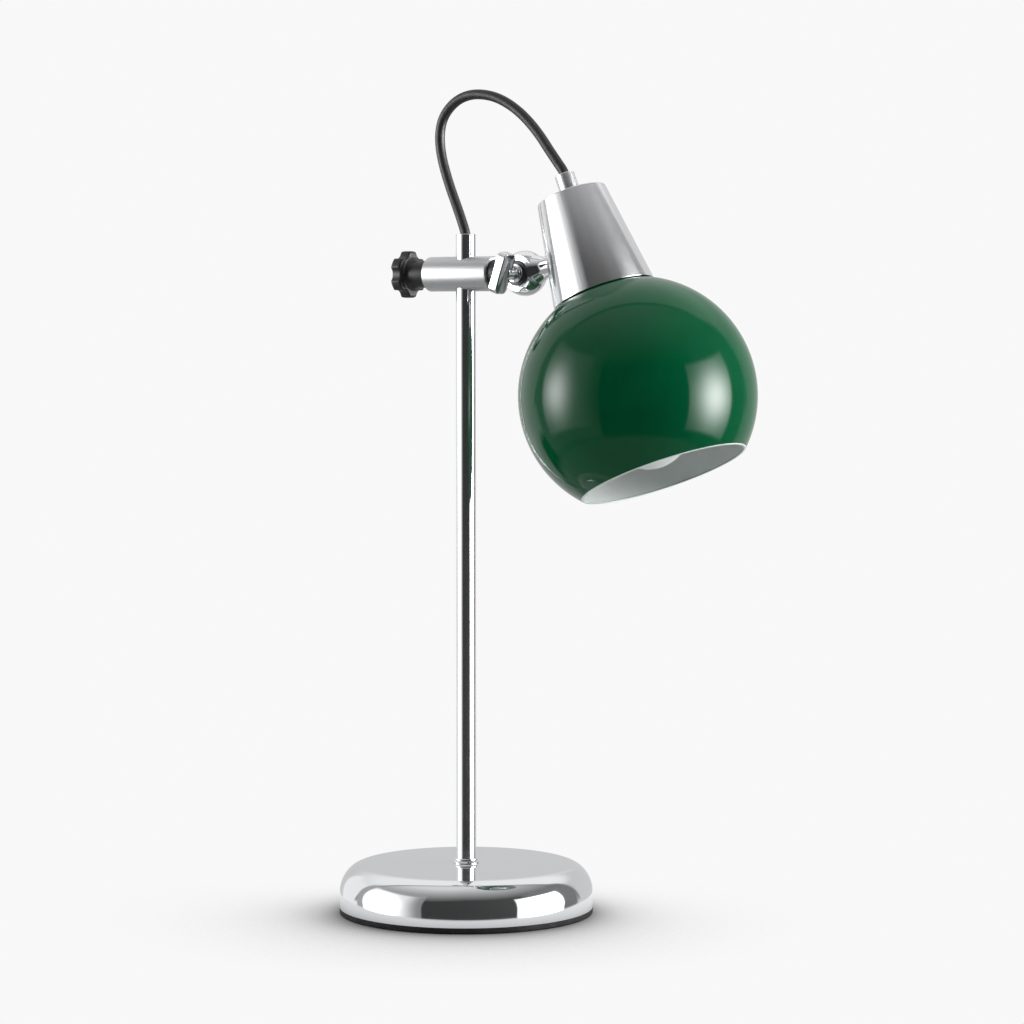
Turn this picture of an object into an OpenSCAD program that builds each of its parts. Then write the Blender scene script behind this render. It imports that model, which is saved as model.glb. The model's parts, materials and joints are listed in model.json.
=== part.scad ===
// Desk lamp: a round weighted base, a chrome column, a sliding arm clamp with a star knob,
// a ball knuckle with a thumb screw, and a globe shade that hangs under a conical lamp cap.
// The origin is at the middle of the underside, +Z is up and +X points along the arm.

/* [Base] */
// Outer diameter of the base shell and the foot mat
base_d = 154.6; // [136:0.1:180]
// Height of the middle of the base above the table
base_h = 30.2; // [27:0.1:40]
// Sheet thickness of the base shell
shell_wall = 1.2; // [0.8:0.1:2]
// Width of the rounded shoulder of the base
shoulder_w = 14.5; // [8:0.5:18]
// Height of the rounded shoulder of the base
shoulder_h = 18; // [10:0.5:18]
// Rise of the dome from the shoulder to the middle
dome_rise = 0.5; // [0.2:0.1:2]
// Thickness of the rubber foot mat
mat_t = 3.5; // [2:0.1:4.5]
// Thickness of the steel bottom plate
plate_t = 1.5; // [1:0.1:2]
// Radius of the hollow under the middle of the weight
well_r = 26; // [20:1:32]
// Thickness of the weight over that hollow
web_t = 3.2; // [2:0.1:5]
// Width of the cord channel in the weight
channel_w = 28; // [26:1:32]
// Radius on which the plate screws sit
plate_screw_pcr = 48; // [40:1:55]
// Thread radius of the plate screws
plate_screw_r = 2; // [1.5:0.25:2.5]

/* [Column] */
// Outer diameter of the column
column_d = 12; // [10:0.1:14]
// Wall of the column tube
column_wall = 1.25; // [0.8:0.05:1.5]
// Height of the top of the column
column_top = 412.6; // [300:0.1:480]
// Height of the collar at the foot of the column
collar_h = 3; // [2:0.1:5]
// Width of the collar around the column
collar_w = 1.95; // [1.6:0.05:4]
// Height of the nut under the base
column_nut_h = 4; // [3:0.5:4]
// Width across the flats of that nut
column_nut_af = 19; // [18:1:24]
// Thickness of the washer over that nut
column_washer_t = 1.2; // [0.8:0.1:2]
// Radius of that washer
column_washer_r = 13; // [11:0.5:18]

/* [Cord] */
// Diameter of the cord
cord_d = 6; // [5:0.1:6.5]
// Length of the swivelling bush in the column's mouth
bush_len = 12; // [8:0.5:16]

/* [Arm clamp] */
// Height of the arm's axis
arm_z = 388.5; // [200:0.5:395]
// Diameter of the clamp sleeve
sleeve_d = 21; // [19:0.5:26]
// Reach of the sleeve from the column towards the knob
sleeve_back = 26.3; // [22:0.1:34]
// Reach of the sleeve from the column towards the lamp head
sleeve_front = 21.5; // [19:0.1:28]
// Chamfer on the ends of the sleeve
sleeve_chamfer = 0.5; // [0.2:0.1:1]
// Thread radius of the clamp screw
clamp_screw_r = 3; // [2.5:0.25:3.5]
// Radius of the brass pad that presses on the column
pad_r = 4.5; // [4:0.25:5]
// Length of the brass pad from its back to the column
pad_len = 7; // [5:0.5:8]

/* [Star knob] */
// Diameter over the lobes of the knob
knob_d = 28.6; // [24:0.2:36]
// Thickness of the knob
knob_t = 7.5; // [6:0.5:12]
// Number of lobes
knob_lobes = 6; // [5:1:8]
// Radius of the scallops between the lobes
scallop_r = 5.8; // [4:0.1:7]
// Chamfer on the knob's rim
knob_chamfer = 1.6; // [0.5:0.1:2.5]
// Diameter of the knob's hub
hub_d = 16.8; // [12:0.2:18]
// Gap between the hub and the sleeve
hub_gap = 1; // [0.5:0.1:3]
// Distance from the sleeve's end to the knob's lobes
knob_reach = 13.7; // [6:0.1:20]

/* [Ball knuckle] */
// Distance of the ball's middle from the column's axis
ball_x = 44.1; // [40:0.1:60]
// Diameter of the ball
ball_d = 27; // [24:0.5:34]
// Distance of the flat under the thumb screw from the ball's middle
flat_y = 8.2; // [6:0.1:10]
// Thickness of the fibre disc between the two halves of the ball
fibre_t = 1; // [0.6:0.1:2]
// Radius of the swivel stud inside the sleeve
stud_r = 5; // [4:0.25:5.5]
// Radius of the neck between the sleeve and the ball
neck_r = 8; // [6.5:0.25:9]
// Thickness of the black washer on the end of the sleeve
slip_t = 5.9; // [1:0.1:7]
// Radius of that black washer
slip_r = 8.4; // [7:0.1:10]

/* [Thumb screw] */
// Thread radius of the thumb screw
thumb_r = 3; // [2.5:0.25:3.5]
// Height of the thumb screw's plate
thumb_plate_h = 25; // [18:0.5:32]
// Width of that plate along the screw
thumb_plate_w = 11.5; // [9:0.5:16]
// Thickness of that plate
thumb_plate_t = 6.5; // [3:0.1:8]
// Distance of the plate's middle from the ball's middle
thumb_plate_y = 23.3; // [20:0.1:30]
// Lean of the plate towards the lamp head
thumb_lean = 19; // [0:1:90]

/* [Lamp head] */
// Lean of the lamp head from the vertical
head_lean = 22; // [0:1:40]
// Outer radius of the globe shade
shade_r = 70; // [60:0.5:80]
// Wall of the globe shade
shade_wall = 1.2; // [0.8:0.1:2]
// Distance of the shade's mouth below its middle
mouth_drop = 49; // [40:0.5:55]
// Outer radius of the lamp cap where it meets the shade
cap_r_low = 31; // [27:0.5:34]
// Outer radius of the lamp cap at its top
cap_r_high = 21; // [18:0.5:24]
// Height of the lamp cap
cap_h = 63.8; // [52:0.5:70]
// Wall of the lamp cap
cap_wall = 1.2; // [0.8:0.1:2]
// Height of the stem's axis above the lower edge of the cap
stem_rise = 31; // [26:0.1:38]
// Distance of the ball's middle from the wall of the cap
stem_len = 22.4; // [20:0.1:30]
// Radius of the stem
stem_r = 6.5; // [5:0.25:7.5]
// Outer radius of the neck on the cap
cap_neck_r = 6; // [5.5:0.1:8]
// Height of the neck on the cap
cap_neck_h = 13.7; // [8:0.1:20]

/* [Lampholder and bulb] */
// Radius of the threaded pipe that carries the lampholder
pipe_r = 5; // [4.5:0.1:5.5]
// Bore radius of that pipe
pipe_bore_r = 3.7; // [3.5:0.05:4]
// Outer radius of the lampholder
holder_r = 19; // [17:0.5:20]
// Height of the lampholder's skirt below the shade
skirt_h = 40; // [30:1:44]
// Height of the lampholder's body above the shade
holder_body_h = 13; // [10:0.5:16]
// Outer radius of the ring that clamps the shade
ring_r = 26; // [23:0.5:30]
// Height of that ring
ring_h = 7; // [5:0.5:10]
// Radius of the bulb's glass
bulb_r = 25; // [20:0.5:30]
// Distance of the bulb's tip below the middle of the shade
bulb_drop = 44.2; // [38:0.1:50]
// Radius of the bulb's screw cap
bulb_cap_r = 13; // [12:0.1:13.5]

/* [Hidden] */
$fn = 72;

// Clearances: a running fit on radius, a hair between faces that turn on each other,
// and the space between pieces that only pass each other
fit = 0.05;
slip = 0.05;
pass = 0.3;
// Overrun of a cut past the face that it opens
cut = 1;

base_r = base_d / 2;
column_r = column_d / 2;
cord_r = cord_d / 2;
sleeve_r = sleeve_d / 2;
ball_r = ball_d / 2;

// Base: heights from the table upwards
plate_top = mat_t + plate_t;
shoulder_top = base_h - dome_rise;
roof_z = base_h - shell_wall;
web_z = roof_z - web_t;
seat_r = column_r + collar_w + 1;
weight_r = base_r - shoulder_w - 1;
weight_top = shoulder_top - shell_wall - pass;
column_foot = web_z - column_washer_t - column_nut_h - 0.6;
inlet_r = 4.5;
inlet_lip_r = inlet_r + 1;
inlet_z = plate_top + inlet_lip_r + pass;
inlet_bore_r = cord_r + 0.1;
grommet_lip = 1.4;
grommet_play = 0.1;
// How far the inside of the shell has come in, at the top and at the sides of the grommet's lip
inlet_lean = shoulder_lean(inlet_z + inlet_lip_r);
inlet_sag = base_r - shell_wall - sqrt(pow(base_r - shell_wall, 2) - inlet_lip_r * inlet_lip_r);
grommet_seat = shell_wall + inlet_lean + inlet_sag + grommet_play;
grommet_len = grommet_seat + 2 * grommet_lip;
screw_head_h = 1.2;
screw_head_flare = 1.9;
screw_grip = 8;

// Terminal block and cord strap, along the channel behind the column
block_l = 20;
block_w = 17;
block_h = 11;
block_x = 16.3 - base_r;
block_screw_at = [0.27, 0.73];
block_bore_r = 1.7;
block_bore_z = plate_top + 4.5;
block_pitch = 5.4;
block_screw_r = 1.5;
strap_x = block_x + block_l + 8;
strap_l = 8;
strap_w = 25;
strap_cover = 2.2;
strap_screw_r = 1.5;
strap_screw_head_r = 2.8;
strap_screw_head_h = 1.8;
strap_screw_y = 8.5;
cord_lie_z = plate_top + cord_r + 0.1;
channel_top = plate_top + block_h + 3;

// Column mouth
column_bore_r = column_r - column_wall;
bush_r = column_bore_r - fit;
bush_top = column_top - 0.4;
bush_foot = bush_top - bush_len;

// Arm clamp, distances along the arm
pad_back = -(column_r + fit + pad_len);
pad_room = 2.3;
stud_end = column_r + 3;
groove_x = 14.7;
groove_w = 3.4;
groove_r = stud_r - 1;
set_screw_r = 1.5;
knob_x = -sleeve_back - knob_reach;
tip_r = 2;
tip_len = 2.8;
tip_play = 0.3;

// Knuckle
half_y = fibre_t / 2;
neck_x = sleeve_front + slip + slip_t;
flange_r = slip_r + 0.6;
flange_t = 2;
socket_r = ball_r + pass;
thumb_washer_r = 7.6;
thumb_washer_t = 1.2;
thumb_hub_r = 4.2;
thumb_flange_r = 5.6;
thumb_flange_t = 1.6;
plate_corner = 3.4;
groove_in_r = 8.3;
groove_out_r = 9.4;
groove_depth = 0.7;
thumb_end = 9.5;

// Lamp head: its own frame has the middle of the globe at the origin and the axis along Z
cap_low = sqrt(shade_r * shade_r - cap_r_low * cap_r_low);
cap_high = cap_low + cap_h;
cap_slope = atan((cap_r_low - cap_r_high) / cap_h);
stem_z = cap_low + stem_rise;
stem_x = -(cap_r_low - stem_rise * tan(cap_slope));
ball_hx = stem_x - stem_len * cos(cap_slope);
ball_hz = stem_z + stem_len * sin(cap_slope);
cap_top_t = 1.6;
neck_top = cap_high + cap_neck_h;
neck_bush_len = 8;
cord_seat = 4.9;
saddle_r = 7;
saddle_t = 1.5;
stem_screw_r = 2.5;
stem_screw_head_r = 4.4;
stem_screw_head_h = 2.6;
stem_screw_len = 9;

// Shade opening for the lampholder
hole_r = holder_r + 0.6;
hole_z = sqrt(shade_r * shade_r - hole_r * hole_r);
shoulder_r = hole_r + 2.2;
shoulder_z = hole_z + 0.1;
holder_top = shoulder_z + holder_body_h;
dome_h = 8;
dome_r = 9;
holder_wall = 2;
ring_wall = 3;
skirt_end = shoulder_z - skirt_h;
core_r = holder_r - holder_wall - 0.1;
core_t = 9;
shell_r = bulb_cap_r + 0.55;
shell_t = 0.5;
shell_h = 22;
core_z = shoulder_z - 8;
pipe_end = holder_top + dome_h - 4;
wire_r = 1;
wire_x = 3.5;

// Bulb
bulb_tip = -bulb_drop;
bulb_mid = bulb_tip + bulb_r;
bulb_cap_h = 24;
bulb_cap_z = core_z - bulb_cap_h - 1.2;
bulb_neck_z = bulb_cap_z + 6;
bulb_neck_r = bulb_cap_r - 0.4;
contact_r = 5;

// Route of the cord's loop, [x, z], from the bush in the column's mouth to the cap's neck,
// and the points of it where its first and its second stretch end
loop_route = [[0, 400.2], [0, 406], [-0.2, 412.4], [-3, 420.5], [-7, 430], [-11, 439.2],
    [-14.6, 448.4], [-17.5, 457.4], [-19.2, 466], [-19.3, 474.4], [-17, 482.4], [-11.8, 489],
    [-4.4, 493.8], [4.5, 496], [14, 495.7], [23.2, 493.5], [32, 489.5], [40.4, 484],
    [48.2, 477.2], [55.4, 469.4], [61.8, 461.2], [67.5, 454.1], [72, 448.3], [74.6, 442]];
rise_end = 15;
middle_end = 19;
// Route of the cord inside the base, [x, z], from the terminal block to the column
base_start = block_x + block_l + 0.2;
base_route = [[base_start, cord_lie_z], [0.74 * base_start, cord_lie_z],
    [0.45 * base_start, cord_lie_z], [0.27 * base_start, cord_lie_z + 0.7],
    [-5.4, cord_lie_z + 3], [-1.8, cord_lie_z + 6.8], [-0.2, column_foot - 0.4],
    [0, column_foot + 6]];
cord_sides = 10;
cord_steps = 24;

// ---------------------------------------------------------------- helpers

// Outer line of the base from the rim up over the shoulder, drawn in by t
function shoulder_line(t, steps = 14) = [for (i = [0 : steps])
    [base_r - shoulder_w + (shoulder_w - t) * cos(90 * i / steps),
     shoulder_top - shoulder_h + (shoulder_h - t) * sin(90 * i / steps)]];

// How far that line, drawn in by the shell's wall, has come in at height z
function shoulder_lean(z) =
    let (s = min(1, max(0, z - shoulder_top + shoulder_h) / (shoulder_h - shell_wall)))
    (shoulder_w - shell_wall) * (1 - sqrt(1 - s * s));

// Dome from the end of the shoulder to the flat seat of the collar, lowered by t
function dome_line(t, steps = 6) = [for (i = [1 : steps])
    let (r = base_r - shoulder_w + (seat_r - base_r + shoulder_w) * i / steps,
         f = (r - seat_r) / (base_r - shoulder_w - seat_r))
    [r, base_h - dome_rise * f * f - t]];

// Points of a tube swept along a route in the plane of the arm
function along(p, i) =
    let (a = p[max(i - 1, 0)], b = p[min(i + 1, len(p) - 1)]) (b - a) / norm(b - a);
function tube_ring(p, i, r) = let (t = along(p, i), n = [-t[1], t[0]])
    [for (k = [0 : cord_sides - 1]) let (a = 360 * k / cord_sides)
        [p[i][0] + r * cos(a) * n[0], r * sin(a), p[i][1] + r * cos(a) * n[1]]];

// The stretch of that tube from one point of its route to another
module tube(p, r, first = 0, last = -1) {
    end = last < 0 ? len(p) - 1 : last;
    n = end - first + 1;
    m = cord_sides;
    polyhedron(
        points = [for (i = [first : end]) each tube_ring(p, i, r)],
        faces = concat(
            [[for (k = [0 : m - 1]) k]],
            [[for (k = [m - 1 : -1 : 0]) (n - 1) * m + k]],
            [for (i = [0 : n - 2], k = [0 : m - 1])
                [i * m + k, (i + 1) * m + k, (i + 1) * m + (k + 1) % m, i * m + (k + 1) % m]]),
        convexity = 6);
}

// A ring or a disc that stands on z
module ring(z, h, ro, ri = 0) {
    translate([0, 0, z]) difference() {
        cylinder(h = h, r = ro);
        if (ri > 0) translate([0, 0, -cut]) cylinder(h = h + 2 * cut, r = ri);
    }
}

// Puts +Z along the arm (+X), at the arm's height
module on_arm() translate([0, 0, arm_z]) rotate([0, 90, 0]) children();

// Puts +Z along the thumb screw, out of the ball towards -Y
module on_thumb() translate([ball_x, 0, arm_z]) rotate([90, 0, 0]) children();

// Puts the lamp head's own frame in its place
module on_head()
    translate([ball_x, 0, arm_z]) rotate([0, -head_lean, 0])
        translate([-ball_hx, 0, -ball_hz]) children();

// Puts +Z along the stem, from the outside of the cap's wall inwards, in the head's frame
module on_stem() translate([stem_x, 0, stem_z]) rotate([0, 90 + cap_slope, 0]) children();

// Solid of the lamp cap, drawn in by t
module cap_solid(t) {
    translate([0, 0, cap_low - 4])
        cylinder(h = cap_h + 4, r1 = cap_r_low + 4 * tan(cap_slope) - t / cos(cap_slope),
            r2 = cap_r_high - t / cos(cap_slope), $fn = 96);
}

// Half space on one side of the ball's joint: side is 1 for the rear, -1 for the front
module joint_side(side, gap) {
    size = 200;
    translate([ball_x - size / 2, side > 0 ? gap : -gap - size, arm_z - size / 2]) cube(size);
}

// ---------------------------------------------------------------- base

module foot_mat() {
    edge = 0.6;
    color("#1a1a1a") rotate_extrude($fn = 120)
        polygon([[0, 0], [base_r - edge, 0], [base_r, edge], [base_r, mat_t], [0, mat_t]]);
}

module base_shell() {
    color("silver") difference() {
        rotate_extrude($fn = 120) polygon(concat(
            [[base_r, mat_t]], shoulder_line(0), dome_line(0), [[column_r + fit, base_h]],
            [[column_r + fit, roof_z]],
            [for (i = [5 : -1 : 0]) dome_line(shell_wall)[i]],
            [for (i = [14 : -1 : 0]) shoulder_line(shell_wall)[i]],
            [[base_r - shell_wall, mat_t]]));
        translate([-base_r - cut, 0, inlet_z]) rotate([0, 90, 0]) cylinder(h = 8 + cut, r = inlet_r);
    }
}

module base_weight() {
    color("dimgray") difference() {
        union() {
            ring(plate_top, weight_top - plate_top, weight_r);
            ring(weight_top - cut, roof_z - weight_top + cut, seat_r);
        }
        translate([0, 0, -cut]) cylinder(h = base_h + 2 * cut, r = column_r + fit);
        translate([0, 0, -cut]) cylinder(h = web_z + cut, r = well_r);
        translate([-base_r, -channel_w / 2, -cut]) cube([base_r, channel_w, channel_top + cut]);
        plate_screw_places() translate([0, 0, -cut])
            cylinder(h = plate_top + screw_grip + 2 * cut, r = plate_screw_r);
    }
}

module plate_screw_places() {
    for (a = [45 : 90 : 315]) rotate([0, 0, a]) translate([plate_screw_pcr, 0, 0]) children();
}

module base_plate() {
    color("gray") difference() {
        ring(mat_t, plate_t, base_r - shell_wall - pass);
        plate_screw_places() translate([0, 0, mat_t - 0.01])
            cylinder(h = screw_head_h + 0.01, r1 = plate_screw_r + screw_head_flare + 0.05,
                r2 = plate_screw_r + 0.1);
        plate_screw_places() cylinder(h = plate_top + cut, r = plate_screw_r + 0.1);
        for (s = [-1, 1]) translate([strap_x, s * strap_screw_y, 0])
            cylinder(h = plate_top + cut, r = strap_screw_r);
    }
}

module plate_screws() {
    color("darkgray") plate_screw_places() {
        translate([0, 0, mat_t])
            cylinder(h = screw_head_h, r1 = plate_screw_r + screw_head_flare, r2 = plate_screw_r);
        translate([0, 0, mat_t]) cylinder(h = plate_t + screw_grip, r = plate_screw_r);
    }
}

module inlet_grommet() {
    color("#1a1a1a") translate([-base_r - grommet_lip, 0, inlet_z]) rotate([0, 90, 0]) difference() {
        union() {
            cylinder(h = grommet_lip, r1 = inlet_r + 0.3, r2 = inlet_r + 1.2);
            cylinder(h = grommet_len, r = inlet_r - 0.02);
            translate([0, 0, grommet_lip + grommet_seat])
                cylinder(h = grommet_lip, r = inlet_lip_r);
        }
        translate([0, 0, -cut]) cylinder(h = grommet_len + 2 * cut, r = inlet_bore_r);
    }
}

module terminal_block() {
    color("ivory") difference() {
        translate([block_x, -block_w / 2, plate_top]) cube([block_l, block_w, block_h]);
        for (y = [-block_pitch : block_pitch : block_pitch]) {
            translate([block_x - cut, y, block_bore_z]) rotate([0, 90, 0])
                cylinder(h = block_l + 2 * cut, r = block_bore_r);
            for (x = block_screw_at) translate([block_x + block_l * x, y, block_bore_z + block_bore_r])
                cylinder(h = block_h, r = block_screw_r + 0.05);
        }
    }
}

module terminal_screws() {
    color("goldenrod") for (y = [-block_pitch : block_pitch : block_pitch], x = block_screw_at)
        translate([block_x + block_l * x, y, block_bore_z + block_bore_r + 0.2]) difference() {
            cylinder(h = 4, r = block_screw_r);
            translate([-block_screw_r - cut, -0.25, 3.2]) cube([2 * block_screw_r + 2 * cut, 0.5, 2]);
        }
}

module cord_strap() {
    color("ivory") difference() {
        translate([strap_x - strap_l / 2, -strap_w / 2, plate_top])
            cube([strap_l, strap_w, cord_d + strap_cover]);
        translate([strap_x - strap_l, 0, cord_lie_z]) rotate([0, 90, 0])
            cylinder(h = 2 * strap_l, r = cord_r + 0.05);
        translate([strap_x - strap_l, -cord_r - 0.05, 0])
            cube([2 * strap_l, 2 * cord_r + 0.1, cord_lie_z]);
        for (s = [-1, 1]) translate([strap_x, s * strap_screw_y, 0])
            cylinder(h = base_h, r = strap_screw_r + 0.1);
    }
}

module strap_screws() {
    top = plate_top + cord_d + strap_cover;
    color("darkgray") for (s = [-1, 1]) translate([strap_x, s * strap_screw_y, 0]) {
        translate([0, 0, mat_t + 0.2]) cylinder(h = top - mat_t, r = strap_screw_r - 0.02);
        translate([0, 0, top]) cylinder(h = strap_screw_head_h, r = strap_screw_head_r);
    }
}

// ---------------------------------------------------------------- column

module column() {
    rim = 0.5;
    color("silver") rotate_extrude() polygon([
        [column_bore_r, column_foot], [column_r, column_foot], [column_r, column_top - rim],
        [column_r - rim * 0.3, column_top - rim * 0.3], [column_r - rim, column_top],
        [column_bore_r, column_top]]);
}

module column_collar() {
    bead_r = 0.27 * collar_h;
    bead_x = 0.68 * collar_w - bead_r;
    color("silver") translate([0, 0, base_h]) rotate_extrude() translate([column_r + 0.02, 0]) {
        polygon([[0, 0], [collar_w, 0], [collar_w, 0.12 * collar_h], [0.6 * collar_w, 0.45 * collar_h],
            [bead_x, 0.6 * collar_h], [0, 0.6 * collar_h]]);
        square([bead_x, collar_h]);
        intersection() {
            translate([bead_x, collar_h - bead_r]) circle(bead_r);
            square([collar_w, collar_h]);
        }
    }
}

module column_washer() {
    color("darkgray") ring(web_z - column_washer_t, column_washer_t, column_washer_r, column_r + fit);
}

module column_nut() {
    color("darkgray") translate([0, 0, web_z - column_washer_t - column_nut_h]) difference() {
        cylinder(h = column_nut_h, d = column_nut_af / cos(30), $fn = 6);
        translate([0, 0, -cut]) cylinder(h = column_nut_h + 2 * cut, r = column_r + 0.02);
    }
}

module column_cord() {
    start = column_foot + 6;
    up_route = [for (i = [1 : cord_steps]) [0, start + (bush_foot - slip - start) * i / cord_steps]];
    color("#101010") tube(concat(base_route, up_route), cord_r);
}

module column_bush() {
    color("#1a1a1a") ring(bush_foot, bush_len, bush_r, cord_r + 0.1);
}

module cord_rise() {
    color("#101010") tube(loop_route, cord_r, last = rise_end);
}

// ---------------------------------------------------------------- arm clamp

module clamp_sleeve() {
    c = sleeve_chamfer;
    color("silver") difference() {
        on_arm() rotate_extrude() polygon([[0, -sleeve_back], [sleeve_r - c, -sleeve_back],
            [sleeve_r, c - sleeve_back], [sleeve_r, sleeve_front - c],
            [sleeve_r - c, sleeve_front], [0, sleeve_front]]);
        translate([0, 0, arm_z - sleeve_d]) cylinder(h = 2 * sleeve_d, r = column_r + fit);
        on_arm() translate([0, 0, -sleeve_back - cut])
            cylinder(h = sleeve_back + cut, r = clamp_screw_r + fit);
        on_arm() translate([0, 0, pad_back - pad_room])
            cylinder(h = -pad_back + pad_room, r = pad_r + fit);
        on_arm() cylinder(h = sleeve_front + cut, r = stud_r + fit);
        translate([groove_x, 0, arm_z]) rotate([-90, 0, 0])
            cylinder(h = sleeve_d, r = set_screw_r + 0.02);
    }
}

module set_screw() {
    color("dimgray") translate([groove_x, groove_r + 0.15, arm_z]) rotate([-90, 0, 0]) difference() {
        cylinder(h = sleeve_r - groove_r - 0.8, r = set_screw_r);
        translate([0, 0, sleeve_r - groove_r - 2]) cylinder(h = 3, r = 0.8, $fn = 6);
    }
}

module clamp_pad() {
    color("goldenrod") difference() {
        on_arm() translate([0, 0, pad_back]) cylinder(h = -pad_back - 2, r = pad_r);
        translate([0, 0, arm_z - sleeve_d]) cylinder(h = 2 * sleeve_d, r = column_r + fit);
        on_arm() translate([0, 0, pad_back - cut]) cylinder(h = tip_len + tip_play + cut, r = tip_r + fit);
    }
}

module clamp_screw() {
    inside = knob_t - 1.5;
    color("darkgray") on_arm() {
        translate([0, 0, knob_x - inside]) cylinder(h = pad_back - 0.1 - knob_x + inside, r = clamp_screw_r);
        translate([0, 0, pad_back - 0.2]) cylinder(h = tip_len + 0.2, r = tip_r);
    }
}

module clamp_knob() {
    lobe_r = knob_d / 2;
    hub_r = hub_d / 2;
    flare_w = 2.4;
    flare_h = 3.2;
    color("#202020") on_arm() difference() {
        union() {
            intersection() {
                translate([0, 0, knob_x - knob_t]) rotate_extrude() polygon([[0, 0],
                    [lobe_r - knob_chamfer, 0], [lobe_r, knob_chamfer],
                    [lobe_r, knob_t - knob_chamfer], [lobe_r - knob_chamfer, knob_t], [0, knob_t]]);
                translate([0, 0, knob_x - knob_t - cut]) linear_extrude(knob_t + 2 * cut) difference() {
                    circle(lobe_r + cut);
                    for (i = [0 : knob_lobes - 1]) rotate((i + 0.5) * 360 / knob_lobes)
                        translate([lobe_r + scallop_r * 0.6, 0]) circle(scallop_r);
                }
            }
            translate([0, 0, knob_x - 1]) rotate_extrude() polygon(concat(
                [[0, 0], [hub_r + flare_w, 0]],
                [for (a = [0 : 15 : 90])
                    [hub_r + flare_w * (1 - sin(a)), 1 + flare_h * (1 - cos(a))]],
                [[hub_r, knob_reach - hub_gap + 1], [0, knob_reach - hub_gap + 1]]));
        }
        translate([0, 0, knob_x - knob_t + 1.45])
            cylinder(h = knob_t + knob_reach, r = clamp_screw_r + 0.02);
    }
}

module cord_middle() {
    color("#101010") tube(loop_route, cord_r, rise_end, middle_end);
}

// ---------------------------------------------------------------- ball knuckle

module slip_washer() {
    color("#151515") on_arm() ring(sleeve_front + slip, slip_t, slip_r, stud_r + 0.02);
}

module knuckle_rear() {
    color("silver") difference() {
        union() {
            on_arm() translate([0, 0, stud_end]) cylinder(h = neck_x - stud_end + 0.01, r = stud_r);
            on_arm() translate([0, 0, neck_x]) cylinder(h = flange_t, r = flange_r);
            difference() {
                on_arm() translate([0, 0, neck_x]) cylinder(h = ball_x - neck_x, r = neck_r);
                intersection() {
                    translate([ball_x, 0, arm_z]) sphere(r = socket_r);
                    joint_side(-1, -half_y);
                }
            }
            intersection() {
                translate([ball_x, 0, arm_z]) sphere(r = ball_r);
                joint_side(1, half_y);
            }
        }
        on_arm() translate([0, 0, groove_x - groove_w / 2]) difference() {
            cylinder(h = groove_w, r = stud_r + cut);
            cylinder(h = groove_w, r = groove_r);
        }
        on_thumb() translate([0, 0, -thumb_end]) cylinder(h = thumb_end, r = thumb_r + fit);
    }
}

module fibre_disc() {
    color("sienna") on_thumb() ring(-half_y, fibre_t, ball_r - 0.6, thumb_r + fit);
}

module cord_drop() {
    color("#101010") tube(loop_route, cord_r, middle_end);
}

module knuckle_front() {
    color("silver") difference() {
        union() {
            intersection() {
                translate([ball_x, 0, arm_z]) sphere(r = ball_r);
                joint_side(-1, half_y + slip);
            }
            difference() {
                on_head() on_stem() {
                    translate([0, 0, -stem_len]) cylinder(h = stem_len + 2, r = stem_r);
                    translate([0, 0, -stem_len + ball_r - 2])
                        cylinder(h = 3.5, r1 = stem_r + 2.4, r2 = stem_r);
                }
                intersection() {
                    translate([ball_x, 0, arm_z]) sphere(r = socket_r);
                    joint_side(1, -half_y - slip);
                }
                on_head() cap_solid(-0.02);
            }
        }
        on_thumb() translate([0, 0, flat_y]) cylinder(h = ball_r, r = ball_r);
        on_thumb() cylinder(h = ball_r, r = thumb_r + fit);
        on_thumb() ring(flat_y - groove_depth, groove_depth + cut, groove_out_r, groove_in_r);
        on_head() on_stem() translate([0, 0, -stem_screw_len])
            cylinder(h = stem_screw_len + cut, r = stem_screw_r + 0.02);
    }
}

// ---------------------------------------------------------------- lamp head

module saddle_washer() {
    color("darkgray") on_head() difference() {
        on_stem() cylinder(h = cap_wall + saddle_t, r = saddle_r);
        difference() {
            cap_solid(-saddle_r);
            cap_solid(cap_wall + 0.02);
        }
        on_stem() translate([0, 0, -cut]) cylinder(h = 10, r = stem_screw_r + 0.1);
    }
}

module stem_screw() {
    color("darkgray") on_head() on_stem() {
        translate([0, 0, 0.5 - stem_screw_len])
            cylinder(h = stem_screw_len + cap_wall + saddle_t, r = stem_screw_r);
        translate([0, 0, cap_wall + saddle_t]) cylinder(h = stem_screw_head_h, r = stem_screw_head_r);
    }
}

module lamp_cap() {
    color("silver") on_head() difference() {
        cap_solid(0);
        difference() {
            cap_solid(cap_wall);
            translate([0, 0, cap_high - cap_top_t]) cylinder(h = cap_h, r = cap_r_high);
        }
        sphere(r = shade_r + 0.02, $fn = 120);
        cylinder(h = neck_top, r = pipe_r + 0.02);
        on_stem() translate([0, 0, -cut]) cylinder(h = 8, r = stem_screw_r + 0.1);
    }
}

module cap_neck() {
    color("silver") on_head() difference() {
        ring(cap_high, cap_neck_h, cap_neck_r);
        translate([0, 0, cap_high - cut]) cylinder(h = cap_neck_h - neck_bush_len + cut, r = pipe_r + 0.02);
        cylinder(h = neck_top + cut, r = cord_r + 1.4);
    }
}

module neck_bush() {
    color("#1a1a1a") on_head()
        ring(neck_top - neck_bush_len, neck_bush_len - 0.4, cord_r + 1.38, cord_r + 0.02);
}

module cap_pipe() {
    color("goldenrod") on_head()
        ring(pipe_end, neck_top - neck_bush_len - 0.3 - pipe_end, pipe_r, pipe_bore_r);
}

module head_cord() {
    low = holder_top + 2;
    color("#101010") on_head() translate([0, 0, low]) cylinder(h = neck_top - cord_seat - low, r = cord_r);
}

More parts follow.
